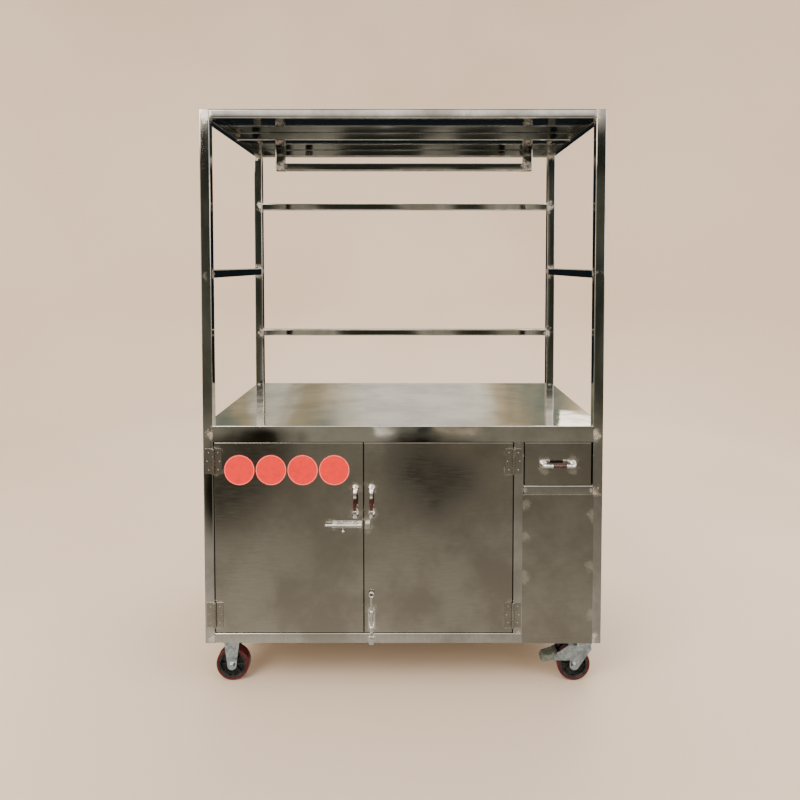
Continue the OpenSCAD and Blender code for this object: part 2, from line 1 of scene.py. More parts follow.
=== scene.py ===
"""The looks of a push vending cart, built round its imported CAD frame."""

import math
import random

import bmesh
import bpy
from mathutils import Matrix, Vector


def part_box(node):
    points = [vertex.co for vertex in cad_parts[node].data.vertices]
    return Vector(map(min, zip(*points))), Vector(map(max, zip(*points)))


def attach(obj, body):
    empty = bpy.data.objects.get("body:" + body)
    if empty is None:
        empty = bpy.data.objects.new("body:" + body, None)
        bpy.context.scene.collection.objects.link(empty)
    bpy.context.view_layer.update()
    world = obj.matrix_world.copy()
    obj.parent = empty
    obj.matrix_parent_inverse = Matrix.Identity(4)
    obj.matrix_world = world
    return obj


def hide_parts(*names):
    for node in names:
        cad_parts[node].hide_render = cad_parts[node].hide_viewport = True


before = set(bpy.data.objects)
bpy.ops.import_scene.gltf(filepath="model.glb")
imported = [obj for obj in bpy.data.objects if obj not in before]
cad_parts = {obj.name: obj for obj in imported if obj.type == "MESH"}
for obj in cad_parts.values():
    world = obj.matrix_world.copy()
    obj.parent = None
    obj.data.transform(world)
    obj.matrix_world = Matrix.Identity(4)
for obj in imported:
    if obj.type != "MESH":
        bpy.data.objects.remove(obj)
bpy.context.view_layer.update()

MM = 0.001
Z_AXIS = Vector((0, 0, 1))
OUT_FRONT = Vector((0, -1, 0))
shake = random.Random(7)


# ---- small tools ----

SMOOTH = {"interpolation_type": "SMOOTHSTEP"}
COLOURS = {"data_type": "RGBA", "out": 2}


def linear(hex_colour):
    """An sRGB hex colour as linear red, green, blue and alpha."""
    parts = [int(hex_colour[i : i + 2], 16) / 255 for i in (1, 3, 5)]
    return tuple(c / 12.92 if c <= 0.04045 else ((c + 0.055) / 1.055) ** 2.4 for c in parts) + (1.0,)


def add(tree, kind, inputs=(), out=0, **settings):
    """Adds a shader node and returns its output out.

    inputs is a list in the node's own order, or maps an input's name or number to what goes in: a number, a
    vector, an sRGB hex colour or another node's output."""
    made = tree.nodes.new("ShaderNode" + kind)
    for name, value in settings.items():
        setattr(made, name, value)
    for key, value in inputs.items() if isinstance(inputs, dict) else enumerate(inputs):
        if isinstance(value, bpy.types.NodeSocket):
            tree.links.new(value, made.inputs[key])
        else:
            made.inputs[key].default_value = linear(value) if isinstance(value, str) else value
    return made.outputs[out] if made.outputs else None


def laid_over(tree, below, shade, pattern, *limits):
    """The colour below with the shade laid over it, more and more as the pattern runs through its limits."""
    share = add(tree, "MapRange", [pattern, *limits], **SMOOTH)
    return add(tree, "Mix", {0: share, 6: below, 7: shade}, **COLOURS)


def per_metre(size):
    """How often a pattern of that size in millimetres repeats in a metre."""
    return 1 / (size * MM)


def new_material(name):
    """A material with an empty tree, that tree, and the places on the object."""
    material = bpy.data.materials.new(name)
    material.use_nodes = True
    tree = material.node_tree
    tree.nodes.clear()
    return material, tree, add(tree, "TexCoord", out="Object")


# ---- materials ----


def stainless(
    name, pale, dark, rough, dull, streaks, wave, wave_depth, spots=(), spot_radius=0, spot_share=0,
):
    """Stainless steel with cloudy handling marks, polishing streaks, a slight waviness and ground weld marks.

    streaks is the size in mm of one polishing streak, drawn coarse enough to show from across a room. wave is
    the size of the dents in mm and wave_depth their depth. spots are the middles of the ground marks, whose
    radius is in mm and which are spot_share as pale as freshly ground steel."""
    material, tree, where = new_material(name)
    clouds = add(
        tree, "TexNoise", {"Vector": where, "Scale": per_metre(170), "Detail": 4.0, "Roughness": 0.6},
    )
    drawn = add(tree, "Mapping", {"Vector": where, "Scale": [per_metre(s) for s in streaks]})
    fine = add(tree, "TexNoise", {"Vector": drawn, "Scale": 1.0, "Detail": 3.0, "Roughness": 0.65})
    dents = add(
        tree, "TexNoise", {"Vector": where, "Scale": per_metre(wave), "Detail": 1.5, "Roughness": 0.4},
    )
    colour = laid_over(tree, pale, dark, clouds, 0.36, 0.68)
    colour = laid_over(tree, colour, dark, fine, 0.3, 0.75, 0.0, 0.3)
    film = add(tree, "MapRange", [clouds, 0.35, 0.7, rough, rough + dull], **SMOOTH)
    hairlines = add(tree, "MapRange", [fine, 0.3, 0.8, 0.0, dull], **SMOOTH)
    roughness = add(tree, "Math", [film, hairlines])
    normal = add(tree, "Bump", {"Height": dents, "Distance": wave_depth * MM})
    normal = add(tree, "Bump", {"Height": fine, "Distance": 0.012 * MM, "Normal": normal})
    metallic = 1.0
    if spots:
        radius = spot_radius * MM
        edge = add(tree, "TexNoise", {"Vector": where, "Scale": per_metre(14), "Detail": 3.0})
        ragged = add(tree, "MapRange", [edge, 0.25, 0.75, -0.35 * radius, 0.35 * radius], **SMOOTH)
        mask = 0.0
        for centre in spots:
            far = add(tree, "VectorMath", [where, centre], out="Value", operation="DISTANCE")
            reach = add(tree, "Math", [far, ragged])
            near = add(tree, "MapRange", [reach, 1.3 * radius, 0.45 * radius], **SMOOTH)
            mask = add(tree, "Math", [mask, near], operation="MAXIMUM")
        mask = add(tree, "Math", [mask, spot_share], operation="MULTIPLY")
        brushed = add(tree, "Mapping", {"Vector": where, "Scale": [per_metre(s) for s in (1.6, 9, 4)]})
        ground = add(tree, "TexNoise", {"Vector": brushed, "Scale": 1.0, "Roughness": 0.7})
        marked = laid_over(tree, "#ece9e3", "#cbc7bf", ground, 0.3, 0.7)
        colour = add(tree, "Mix", {0: mask, 6: colour, 7: marked}, **COLOURS)
        roughness = add(tree, "Mix", {0: mask, 2: roughness, 3: 0.5})
        metallic = add(tree, "MapRange", [mask, 0.0, 1.0, 1.0, 0.25], **SMOOTH)
    inputs = {"Base Color": colour, "Metallic": metallic, "Roughness": roughness, "Normal": normal}
    add(tree, "OutputMaterial", [add(tree, "BsdfPrincipled", inputs)])
    return material


def mirror_tube(node, spots, spot_radius):
    """Mirror-polished stainless tube: crisp dark and bright lines that break up at the ground welds."""
    name = node + "_mirror_tube"
    return stainless(name, "#d2cfc9", "#b0aca4", 0.04, 0.03, (7, 7, 60), 55, 0.05, spots, spot_radius, 0.55)


def mirror_roof_sheet():
    """Mirror stainless roof sheet: reflects what stands under it, a little dented."""
    return stainless("mirror_roof_sheet", "#b9bcbd", "#8f9496", 0.05, 0.04, (60, 5, 60), 190, 0.55)


def mirror_worktop_sheet():
    """Thin mirror worktop, scuffed by use: long wavy reflections and a dull film."""
    return stainless("mirror_worktop_sheet", "#e2dfd6", "#c3c0b6", 0.03, 0.05, (90, 4, 20), 130, 1.0)


def satin_sheet(name, spots=(), spot_radius=0):
    """Half-bright stainless sheet, gone brownish with handling: soft reflections under a greasy film."""
    return stainless(name, "#b5b0a6", "#9e988d", 0.1, 0.06, (60, 60, 5), 230, 0.5, spots, spot_radius, 0.24)


def brushed_hinge_steel():
    """Brushed stainless hinge stock: the same tone as the doors, with short streaks."""
    return stainless("brushed_hinge_steel", "#b8b2a7", "#9a948a", 0.2, 0.08, (5, 5, 2), 30, 0.02)


def polished_bolt_steel():
    """Polished stainless bolt stock: the brightest small parts on the front."""
    return stainless("polished_bolt_steel", "#f0eeea", "#d3d0ca", 0.22, 0.08, (6, 6, 6), 24, 0.03)


def weld_bead_steel():
    """Cooled weld metal, wire-brushed: dull, straw and grey."""
    return stainless("weld_bead_steel", "#d4cdc1", "#9a958d", 0.4, 0.12, (3, 3, 3), 6, 0.1)


def bright_chrome():
    """Chrome plate on a cast handle: near-white mirror with faint pits."""
    material, tree, where = new_material("bright_chrome")
    pits = add(tree, "TexNoise", {"Vector": where, "Scale": per_metre(2.5), "Detail": 3.0})
    inputs = {
        "Base Color": laid_over(tree, "#f1f1ef", "#c9c8c5", pits, 0.45, 0.75),
        "Metallic": 1.0,
        "Roughness": add(tree, "MapRange", [pits, 0.4, 0.8, 0.05, 0.2], **SMOOTH),
        "Normal": add(tree, "Bump", {"Height": pits, "Distance": 0.02 * MM}),
    }
    add(tree, "OutputMaterial", [add(tree, "BsdfPrincipled", inputs)])
    return material


def burgundy_enamel():
    """Dark red stoved enamel on the handle's grip: glossy, with rubbed thin patches."""
    material, tree, where = new_material("burgundy_enamel")
    rub = add(tree, "TexNoise", {"Vector": where, "Scale": per_metre(9), "Detail": 3.0})
    inputs = {
        "Base Color": laid_over(tree, "#330f10", "#562524", rub, 0.4, 0.75),
        "Roughness": add(tree, "MapRange", [rub, 0.3, 0.8, 0.12, 0.34], **SMOOTH),
        "IOR": 1.5,
        "Coat Weight": 0.6,
    }
    add(tree, "OutputMaterial", [add(tree, "BsdfPrincipled", inputs)])
    return material


def bright_zinc():
    """Blue-white zinc plate on pressed caster parts: soft cloudy spangle and dulled edges."""
    material, tree, where = new_material("bright_zinc")
    crystals = add(tree, "TexVoronoi", {"Vector": where, "Scale": per_metre(7)}, out="Color")
    spangle = add(tree, "SeparateXYZ", [crystals])
    dirt = add(tree, "TexNoise", {"Vector": where, "Scale": per_metre(24), "Detail": 4.0, "Roughness": 0.6})
    plated = add(tree, "Mix", {0: spangle, 6: "#d9e0e4", 7: "#b2bcc3"}, **COLOURS)
    dulled = add(tree, "MapRange", [dirt, 0.35, 0.75, 0.13, 0.34], **SMOOTH)
    inputs = {
        "Base Color": laid_over(tree, plated, "#676b6a", dirt, 0.52, 0.8),
        "Metallic": 1.0,
        "Roughness": add(tree, "Math", [spangle, 0.08, dulled], operation="MULTIPLY_ADD"),
        "Normal": add(tree, "Bump", {"Height": dirt, "Distance": 0.08 * MM}),
    }
    add(tree, "OutputMaterial", [add(tree, "BsdfPrincipled", inputs)])
    return material


def dusty_grey_pedal_paint():
    """Grey-green painted pedal, chalky with floor dust."""
    material, tree, where = new_material("dusty_grey_pedal_paint")
    dust = add(tree, "TexNoise", {"Vector": where, "Scale": per_metre(11), "Detail": 4.0, "Roughness": 0.6})
    inputs = {
        "Base Color": laid_over(tree, "#5b6a66", "#8b938c", dust, 0.4, 0.7),
        "Roughness": add(tree, "MapRange", [dust, 0.35, 0.7, 0.38, 0.7], **SMOOTH),
        "IOR": 1.5,
        "Normal": add(tree, "Bump", {"Height": dust, "Distance": 0.08 * MM}),
    }
    add(tree, "OutputMaterial", [add(tree, "BsdfPrincipled", inputs)])
    return material


def moulded_black_nylon():
    """Black moulded wheel core: fine eggshell skin with grey dust in it."""
    material, tree, where = new_material("moulded_black_nylon")
    dust = add(tree, "TexNoise", {"Vector": where, "Scale": per_metre(15), "Detail": 4.0, "Roughness": 0.6})
    skin = add(tree, "TexNoise", {"Vector": where, "Scale": per_metre(0.9), "Detail": 1.0})
    inputs = {
        "Base Color": laid_over(tree, "#15191a", "#3a403d", dust, 0.42, 0.75),
        "Roughness": add(tree, "MapRange", [dust, 0.35, 0.75, 0.4, 0.66], **SMOOTH),
        "IOR": 1.53,
        "Normal": add(tree, "Bump", {"Height": skin, "Distance": 0.05 * MM}),
    }
    add(tree, "OutputMaterial", [add(tree, "BsdfPrincipled", inputs)])
    return material


def red_polyurethane():
    """Dark red polyurethane tread: waxy sheen, scuffed and dusty where it rolls."""
    material, tree, where = new_material("red_polyurethane")
    dust = add(tree, "TexNoise", {"Vector": where, "Scale": per_metre(13), "Detail": 4.0, "Roughness": 0.65})
    along = add(tree, "Mapping", {"Vector": where, "Scale": [per_metre(s) for s in (2, 12, 2)]})
    scuffs = add(tree, "TexNoise", {"Vector": along, "Scale": 1.0})
    scuffed = laid_over(tree, "#5e1118", "#3c0b10", scuffs, 0.3, 0.8)
    inputs = {
        "Base Color": laid_over(tree, scuffed, "#55403a", dust, 0.52, 0.78, 0.0, 0.6),
        "Roughness": add(tree, "MapRange", [dust, 0.35, 0.75, 0.3, 0.62], **SMOOTH),
        "IOR": 1.5,
        "Normal": add(tree, "Bump", {"Height": scuffs, "Distance": 0.1 * MM}),
    }
    add(tree, "OutputMaterial", [add(tree, "BsdfPrincipled", inputs)])
    return material


def cut_vinyl(name, new_colour, worn_colour):
    """Self-adhesive vinyl: an even satin skin with faint bubbles where it was rubbed down."""
    material, tree, where = new_material(name)
    bubbles = add(tree, "TexNoise", {"Vector": where, "Scale": per_metre(18)})
    inputs = {
        "Base Color": laid_over(tree, new_colour, worn_colour, bubbles, 0.4, 0.8),
        "Roughness": add(tree, "MapRange", [bubbles, 0.3, 0.8, 0.32, 0.45], **SMOOTH),
        "IOR": 1.46,
        "Normal": add(tree, "Bump", {"Height": bubbles, "Distance": 0.05 * MM}),
    }
    add(tree, "OutputMaterial", [add(tree, "BsdfPrincipled", inputs)])
    return material


def studio_paint():
    """Warm pale matt paint of the studio's floor and cove."""
    material, tree, where = new_material("studio_paint")
    patches = add(tree, "TexNoise", {"Vector": where, "Scale": per_metre(1800)})
    colour = laid_over(tree, "#e6d8c8", "#e0d0be", patches, 0.3, 0.7)
    inputs = {"Base Color": colour, "Roughness": 0.85, "IOR": 1.45}
    add(tree, "OutputMaterial", [add(tree, "BsdfPrincipled", inputs)])
    return material


# ---- mesh tools ----


def cad_mesh(node):
    """A copy of a CAD node's mesh, its loose triangles merged and its flat faces made whole."""
    bm = bmesh.new()
    bm.from_mesh(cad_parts[node].data)
    bmesh.ops.remove_doubles(bm, verts=bm.verts, dist=0.005 * MM)
    bmesh.ops.dissolve_limit(bm, angle_limit=math.radians(0.6), verts=bm.verts, edges=bm.edges)
    return bm


def solids(node):
    """The lowest and highest corner of each separate solid of a CAD node."""
    bm = cad_mesh(node)
    left = set(bm.verts)
    found = []
    while left:
        reach = [left.pop()]
        island = []
        while reach:
            vert = reach.pop()
            island.append(vert.co.copy())
            for edge in vert.link_edges:
                other = edge.other_vert(vert)
                if other in left:
                    left.remove(other)
                    reach.append(other)
        low = Vector([min(p[k] for p in island) for k in range(3)])
        high = Vector([max(p[k] for p in island) for k in range(3)])
        found.append((low, high))
    bm.free()
    return sorted(found, key=lambda pair: tuple(pair[0]))


def bevel_edges(bm, edges, width, segments=3):
    """Rounds those edges; width is in millimetres."""
    bmesh.ops.bevel(
        bm, geom=edges, offset=width * MM, offset_type="OFFSET", segments=segments, profile=0.5,
        affect="EDGES", clamp_overlap=True, material=-1,
    )


def sharp_edges(bm, angle):
    """The edges whose two faces meet at more than that angle in degrees."""
    limit = math.radians(angle)
    return [e for e in bm.edges if len(e.link_faces) == 2 and e.calc_face_angle(0) > limit]


def outline_edges(bm):
    """The edges that lie on two sides of the mesh's box at once."""
    low = [min(v.co[k] for v in bm.verts) for k in range(3)]
    high = [max(v.co[k] for v in bm.verts) for k in range(3)]

    def sides(edge):
        return sum(
            all(abs(v.co[k] - limit) < 0.02 * MM for v in edge.verts)
            for k in range(3)
            for limit in (low[k], high[k])
        )

    return [e for e in bm.edges if sides(e) >= 2]


def piece(name, bm, body, materials, stands_for=(), sharp=38):
    """Turns the mesh into a finished piece that rides on a body."""
    mesh = bpy.data.meshes.new(name)
    bm.to_mesh(mesh)
    bm.free()
    mesh.shade_smooth()
    mesh.set_sharp_from_angle(angle=math.radians(sharp))
    made = bpy.data.objects.new(name, mesh)
    bpy.context.scene.collection.objects.link(made)
    for material in materials if isinstance(materials, (list, tuple)) else [materials]:
        mesh.materials.append(material)
    weighted = made.modifiers.new("even_shading", "WEIGHTED_NORMAL")
    weighted.keep_sharp = True
    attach(made, body)
    if stands_for:
        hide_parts(*stands_for)
    return made


def new_part(bm, before, matrix):
    """Merges and turns outwards what was added to bm since before, and puts it in its place."""
    verts = [v for v in bm.verts if v not in before]
    bmesh.ops.remove_doubles(bm, verts=verts, dist=0.002 * MM)
    verts = [v for v in bm.verts if v not in before]
    faces = list({f for v in verts for f in v.link_faces})
    bmesh.ops.recalc_face_normals(bm, faces=faces)
    bmesh.ops.transform(bm, matrix=matrix, verts=verts)
    return faces


def turned(bm, profile, matrix, steps=48):
    """Turns a line of (radius, height) points in millimetres about Z into a closed shape."""
    before = set(bm.verts)
    line = [bm.verts.new((r * MM, 0, h * MM)) for r, h in profile]
    edges = [bm.edges.new(pair) for pair in zip(line, line[1:])]
    bmesh.ops.spin(
        bm, geom=line + edges, cent=(0, 0, 0), axis=(0, 0, 1), angle=math.tau, steps=steps, use_merge=True,
    )
    return new_part(bm, before, matrix)


def ring_turned(bm, profile, matrix, steps=48):
    """The same for a closed outline that doesn't reach the axis."""
    return turned(bm, [*profile, profile[0]], matrix, steps)


def swept(bm, path, radii, sides=16):
    """A round bar along a path of points in metres, with a radius in millimetres at each."""
    before = set(bm.verts)
    heading = (path[1] - path[0]).normalized()
    start = Matrix.Translation(path[0]) @ Z_AXIS.rotation_difference(heading).to_matrix().to_4x4()
    bmesh.ops.create_circle(bm, cap_ends=True, segments=sides, radius=radii[0] * MM, matrix=start)
    face = next(f for f in bm.faces if all(v not in before for v in f.verts))
    for i in range(1, len(path)):
        ahead = path[min(i + 1, len(path) - 1)] - path[i - 1]
        turn = heading.rotation_difference(ahead.normalized()).to_matrix().to_4x4()
        heading = ahead.normalized()
        made = bmesh.ops.extrude_face_region(bm, geom=[face])["geom"]
        face = next(g for g in made if isinstance(g, bmesh.types.BMFace))
        ring = [g for g in made if isinstance(g, bmesh.types.BMVert)]
        grow = Matrix.Scale(radii[i] / radii[i - 1], 4)
        step = Matrix.Translation(path[i]) @ turn @ grow @ Matrix.Translation(-path[i - 1])
        bmesh.ops.transform(bm, matrix=step, verts=ring)
    return new_part(bm, before, Matrix.Identity(4))


def rounded_tube(bm, low, high, radius, wall):
    """A drawn square tube with round corners, along the longest side of the box low..high."""
    before = set(bm.verts)
    size = high - low
    run = max(range(3), key=lambda k: size[k])
    first, second = [k for k in range(3) if k != run]
    bmesh.ops.create_grid(bm, x_segments=1, y_segments=1, size=0.5)
    corners = [v for v in bm.verts if v not in before]
    bmesh.ops.scale(bm, vec=(size[first], size[second], 1), verts=corners)
    bmesh.ops.bevel(
        bm, geom=corners, offset=radius * MM, offset_type="OFFSET", segments=4, profile=0.5,
        affect="VERTICES", clamp_overlap=True, material=-1,
    )
    face = [f for f in bm.faces if all(v not in before for v in f.verts)]
    bmesh.ops.inset_region(bm, faces=face, thickness=wall * MM, use_even_offset=True, use_boundary=True)
    bmesh.ops.delete(bm, geom=face, context="FACES")
    wall_faces = [f for f in bm.faces if all(v not in before for v in f.verts)]
    made = bmesh.ops.extrude_face_region(bm, geom=wall_faces)["geom"]
    far_end = [g for g in made if isinstance(g, bmesh.types.BMVert)]
    bmesh.ops.translate(bm, vec=(0, 0, size[run]), verts=far_end)
    place = Matrix.Identity(4)
    for column, axis in enumerate((first, second, run)):
        for row in range(3):
            place[row][column] = 1.0 if row == axis else 0.0
    middle = (low + high) / 2
    middle[run] = low[run]
    faces = new_part(bm, before, Matrix.Translation(middle) @ place)
    bmesh.ops.recalc_face_normals(bm, faces=faces)


def pan_head(bm, at, facing, radius, tall=1.4):
    """A domed screw head with a recess, at a point in metres, facing outwards."""
    place = Matrix.Translation(at) @ Z_AXIS.rotation_difference(facing).to_matrix().to_4x4()
    profile = [
        (0, -0.6), (radius, -0.6), (radius, tall * 0.35), (radius * 0.86, tall * 0.75),
        (radius * 0.6, tall), (radius * 0.42, tall), (radius * 0.3, tall * 0.35), (0, tall * 0.35),
    ]
    turned(bm, profile, place, 14)


def weld_bead(bm, start, end, radius=1.6):
    """A rippled bead of weld metal from start to end."""
    run = end - start
    count = max(6, round(run.length / (2.2 * MM)))
    path, radii = [], []
    for i in range(count + 1):
        share = i / count
        path.append(start + run * share)
        ripple = 1.0 + (0.16 if i % 2 else -0.1) + shake.uniform(-0.06, 0.06)
        radii.append(radius * ripple * (0.55 if i in (0, count) else 1.0))
    swept(bm, path, radii, 7)


# ---- frame tubes ----

TUBE_CORNER = 3.2
TUBE_WALL = 1.2
# A tube shows the ground mark of every weld that is at most this far from it, in millimetres.
WELD_REACH = 4
BIG_WELD = 26
SMALL_WELD = 15
POST_NODES = ["front_left_post", "front_right_post", "rear_left_post", "rear_right_post"]
RAIL_NODES = [
    "roof_long_rails", "roof_side_rails", "roof_middle_rail", "hangers", "hanging_rail", "side_bars",
    "rear_bars", "counter_long_rails", "counter_cross_rails", "base_long_rails", "base_cross_rails",
    "door_upright", "drawer_rail", "rear_middle_rail",
]
tube_solids = {node: solids(node) for node in POST_NODES + RAIL_NODES}


def end_middles(low, high):
    """The middles of the two ends of a tube."""
    size = high - low
    run = max(range(3), key=lambda k: size[k])
    middle = (low + high) / 2
    ends = []
    for limit in (low[run], high[run]):
        end = middle.copy()
        end[run] = limit
        ends.append(end)
    return ends


def box_distance(point, low, high):
    """How far the point is from the box low..high."""
    gaps = [max(low[k] - point[k], 0.0, point[k] - high[k]) for k in range(3)]
    return math.sqrt(sum(g * g for g in gaps))


weld_points = [
    end for node in RAIL_NODES for low, high in tube_solids[node] for end in end_middles(low, high)
]


def build_tubes():
    """Every square tube of the frame, with the ground marks of the welds that meet it."""
    for node in POST_NODES + RAIL_NODES:
        bm = bmesh.new()
        for low, high in tube_solids[node]:
            rounded_tube(bm, low, high, TUBE_CORNER, TUBE_WALL)
        spots = [
            tuple(p) for p in weld_points
            if any(box_distance(p, low, high) < WELD_REACH * MM for low, high in tube_solids[node])
        ]
        spot_radius = BIG_WELD if node in POST_NODES or node == "hangers" else SMALL_WELD
        piece(node + "_tube", bm, "frame", mirror_tube(node, spots, spot_radius), [node])


def build_weld_beads():
    """Beads round the ends of the bars, the hangers and the hanging rail."""
    bm = bmesh.new()
    for node in ("side_bars", "rear_bars", "hanging_rail", "hangers"):
        for low, high in tube_solids[node]:
            size = high - low
            run = max(range(3), key=lambda k: size[k])
            first, second = [k for k in range(3) if k != run]
            limits = (low[run], high[run]) if node != "hangers" else (high[run],)
            for limit in limits:
                for across, along in ((first, second), (second, first)):
                    for side in (low[across], high[across]):
                        start, end = Vector(low), Vector(low)
                        start[run] = end[run] = limit
                        start[across] = end[across] = side
                        start[along] = low[along] + 2 * MM
                        end[along] = high[along] - 2 * MM
                        weld_bead(bm, start, end)
    piece("bar_weld_beads", bm, "frame", weld_bead_steel(), sharp=80)


# ---- sheets ----

WORKTOP_GAUGE = 0.6
FOLD_RADIUS = 2.2
PAN_FOLD = 1.6
# The radius of the ground marks behind the fittings and along the welded panel.
DOOR_MARK = 19
DRAWER_MARK = 17
PANEL_MARK = 20


def corner_face(face, low, high):
    """True for a face at one of the four corners of the box."""
    middle = face.calc_center_median()
    return all(min(middle[k] - low[k], high[k] - middle[k]) < 40 * MM for k in (0, 1))


def build_worktop():
    """One folded sheet: a flat top between the posts and an apron on each side."""
    low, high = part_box("worktop")
    post = tube_solids["front_left_post"][0]
    post_wide = post[1].x - post[0].x
    bm = bmesh.new()
    bmesh.ops.create_grid(bm, x_segments=3, y_segments=3, size=1.0)
    for vert in bm.verts:
        for k in (0, 1):
            share = vert.co[k]
            edge = low[k] if share < 0 else high[k]
            inset = post_wide if share < 0 else -post_wide
            vert.co[k] = edge if abs(share) > 0.9 else edge + inset
        vert.co.z = high.z
    bmesh.ops.delete(bm, geom=[f for f in bm.faces if corner_face(f, low, high)], context="FACES")
    folds = [
        e for e in bm.edges
        if len(e.link_faces) == 1 and any(
            all(abs(v.co[k] - limit) < 1e-6 for v in e.verts) for k in (0, 1) for limit in (low[k], high[k])
        )
    ]
    made = bmesh.ops.extrude_edge_only(bm, edges=folds)["geom"]
    apron_foot = [g for g in made if isinstance(g, bmesh.types.BMVert)]
    bmesh.ops.translate(bm, vec=(0, 0, low.z - high.z), verts=apron_foot)
    bmesh.ops.dissolve_limit(bm, angle_limit=math.radians(1), verts=bm.verts, edges=bm.edges)
    folds = [e for e in bm.edges if len(e.link_faces) == 2 and e.calc_face_angle(0) > 1.0]
    bevel_edges(bm, folds, FOLD_RADIUS, 4)
    bmesh.ops.recalc_face_normals(bm, faces=bm.faces)
    if max(bm.faces, key=lambda f: f.calc_area()).normal.z < 0:
        bmesh.ops.reverse_faces(bm, faces=bm.faces)
    top = piece("worktop_sheet", bm, "frame", mirror_worktop_sheet(), ["worktop"])
    wall = top.modifiers.new("gauge", "SOLIDIFY")
    wall.thickness = WORKTOP_GAUGE * MM
    wall.offset = -1.0
    top.modifiers.move(1, 0)


# The radius of a handle's round foot and of its bar, in millimetres.
FOOT = 11.0
BAR = 5.5


def handle_feet(node):
    """The middles of a handle's two feet, on the surface behind it."""
    low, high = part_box(node)
    size = high - low
    run = 0 if size.x > size.z else 2
    ends = []
    for end in (low[run] + FOOT * MM, high[run] - FOOT * MM):
        foot = (low + high) / 2
        foot[run] = end
        foot.y = high.y
        ends.append(foot)
    return ends


def build_fronts():
    """The doors, the drawer front and the fixed panel, with rounded folds."""
    hinge_marks = {"left_door": [], "right_door": []}
    for node, door in (("left_hinge_leaves", "left_door"), ("right_hinge_leaves", "right_door")):
        for low, high in solids(node):
            middle = (low + high) / 2
            for share in (0.15, 0.85):
                hinge_marks[door].append((middle.x, high.y, low.z + share * (high.z - low.z)))
    for door, handle, bolts in (
        ("left_door", "left_door_handle", ["cross_bolt_body"]),
        ("right_door", "right_door_handle", ["lower_bolt_body", "cross_bolt_keeper"]),
    ):
        marks = [tuple(f) for f in handle_feet(handle)] + hinge_marks[door]
        for node in bolts:
            low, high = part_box(node)
            middle = (low + high) / 2
            run = 0 if high.x - low.x > high.z - low.z else 2
            for limit in (low[run], high[run]):
                mark = middle.copy()
                mark[run] = limit
                mark.y = high.y
                marks.append(tuple(mark))
        bm = cad_mesh(door)
        bevel_edges(bm, outline_edges(bm), PAN_FOLD, 3)
        satin = satin_sheet(door + "_satin_sheet", marks, DOOR_MARK)
        piece(door + "_pan", bm, door, satin, [door])
    feet = handle_feet("drawer_handle")
    marks = [tuple(foot + Vector((0, 0, rise * MM))) for foot in feet for rise in (9, -17)]
    bm = cad_mesh("drawer_front")
    bevel_edges(bm, outline_edges(bm), PAN_FOLD, 3)
    satin = satin_sheet("drawer_satin_sheet", marks, DRAWER_MARK)
    piece("drawer_front_pan", bm, "drawer", satin, ["drawer_front"])
    low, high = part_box("fixed_front_panel")
    tall = high.z - low.z
    tacks = [(low.x + 4 * MM, low.y, low.z + share * tall) for share in (0.45, 0.72, 0.93)]
    tacks += [(high.x - 3 * MM, low.y, low.z + share * tall) for share in (0.2, 0.52, 0.86)]
    bm = cad_mesh("fixed_front_panel")
    bevel_edges(bm, outline_edges(bm), 0.35, 2)
    for share in (0.06, 0.16, 0.5, 0.72):
        at = Vector((low.x + share * (high.x - low.x), low.y, low.z + 15 * MM))
        pan_head(bm, at, OUT_FRONT, 2.6, 0.7)
    satin = satin_sheet("fixed_front_satin_sheet", tacks, PANEL_MARK)
    piece("fixed_front_sheet", bm, "frame", satin, ["fixed_front_panel"])


SPOT_INSET = 16
SPOTS_IN_A_ROW = 7


def build_panel_spot_welds():
    """Rows of small ground spot welds up the edges of the side and rear panels."""
    bm = bmesh.new()
    rows = []
    inset = SPOT_INSET * MM
    for low, high in solids("side_panels"):
        side = 1 if low.x > 0 else -1
        face = high.x if side > 0 else low.x
        rows += [((face, y), Vector((side, 0, 0)), low, high) for y in (low.y + inset, high.y - inset)]
    for low, high in solids("rear_panel"):
        rows += [((x, high.y), Vector((0, 1, 0)), low, high) for x in (low.x + inset, high.x - inset)]
    for (x, y), facing, low, high in rows:
        for i in range(SPOTS_IN_A_ROW):
            z = low.z + (high.z - low.z) * (i + 0.5) / SPOTS_IN_A_ROW + shake.uniform(-6, 6) * MM
            pan_head(bm, Vector((x, y, z)), facing, 3.0, 0.6)
    piece("panel_spot_welds", bm, "frame", weld_bead_steel())


# ---- handles ----

# (how far out, radius) up the flared neck, and (how far from the grip, radius) along the collar.
HANDLE_NECK = ((4.4, 6.8), (5.0, 9.0), (5.8, 10.3), (7.0, 10.6), (8.4, 10.2), (10.0, 9.6), (11.4, 9.0))
HANDLE_COLLAR = ((5.0, 4.8), (3.2, 4.8), (2.6, 6.2), (0.6, 6.2), (-0.2, 5.2), (-2.0, 4.7))


